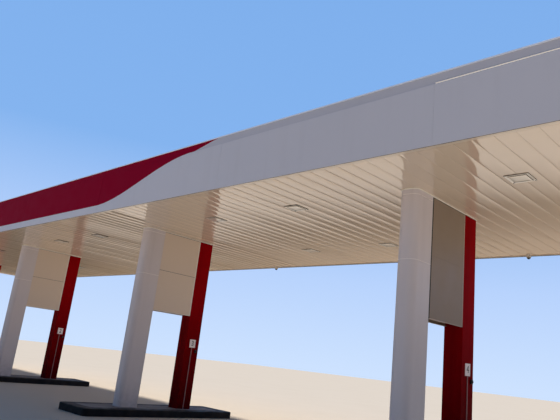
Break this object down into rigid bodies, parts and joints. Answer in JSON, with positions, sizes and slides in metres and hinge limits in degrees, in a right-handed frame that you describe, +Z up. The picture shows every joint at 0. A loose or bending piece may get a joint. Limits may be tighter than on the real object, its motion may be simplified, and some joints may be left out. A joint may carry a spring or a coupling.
{
  "type": "filling station canopy",
  "caption": "Long flat filling station canopy with a boxed fascia and a planked ceiling, carried by pairs of clad columns that stand on raised pump islands.",
  "frame": {"origin": "on the ground, under the middle of the roof's plan", "axes": "+X along the canopy, to the right as seen from the front; +Y from the front to the rear; +Z up"},
  "size_m": [33.7, 7.5, 6.185],
  "materials": {
    "island_kerb": "concrete island painted near black, scuffed",
    "white_cladding": "white coated composite sheet, satin",
    "red_cladding": "deep red coated sheet, semi-gloss",
    "panel_grey": "warm grey coated sheet, semi-gloss",
    "cream_trim": "cream coated moulding",
    "structural_steel": "grey primed structural steel",
    "fascia_white": "white coated composite panel, satin, with a red area at the left of the front",
    "ceiling_cream": "glossy cream coated ceiling planks",
    "galvanised_steel": "zinc coated sheet, slightly weathered",
    "light_trim": "cream coated light rim",
    "light_lens": "frosted lens, unlit",
    "camera_plastic": "white base with a smoked dome",
    "duct_plastic": "pale plastic cable duct",
    "button_plastic": "dark moulded button box"
  },
  "bodies": {
    "root": {"island_1": "island_kerb", "island_2": "island_kerb", "island_3": "island_kerb", "island_4": "island_kerb", "white_column_1": "white_cladding", "white_column_2": "white_cladding", "white_column_3": "white_cladding", "white_column_4": "white_cladding", "red_column_1": "red_cladding", "red_column_2": "red_cladding", "red_column_3": "red_cladding", "red_column_4": "red_cladding", "hanging_panels_1": "panel_grey", "hanging_panels_2": "panel_grey", "hanging_panels_3": "panel_grey", "hanging_panels_4": "panel_grey", "ceiling_trim_1": "cream_trim", "ceiling_trim_2": "cream_trim", "ceiling_trim_3": "cream_trim", "ceiling_trim_4": "cream_trim", "steel_posts_1": "structural_steel", "steel_posts_2": "structural_steel", "steel_posts_3": "structural_steel", "steel_posts_4": "structural_steel", "girder_1": "structural_steel", "girder_2": "structural_steel", "girder_3": "structural_steel", "girder_4": "structural_steel", "front_fascia": "fascia_white", "right_fascia": "fascia_white", "rear_fascia": "fascia_white", "left_fascia": "fascia_white", "soffit": "ceiling_cream", "fascia_studs": "structural_steel", "edge_beams": "structural_steel", "end_girders": "structural_steel", "purlins": "galvanised_steel", "gutter": "galvanised_steel", "roof_deck": "galvanised_steel", "light_frames": "light_trim", "light_lenses": "light_lens", "dome_cameras": "camera_plastic", "cable_ducts": "duct_plastic", "stop_buttons": "button_plastic"}
  },
  "joints": []
}
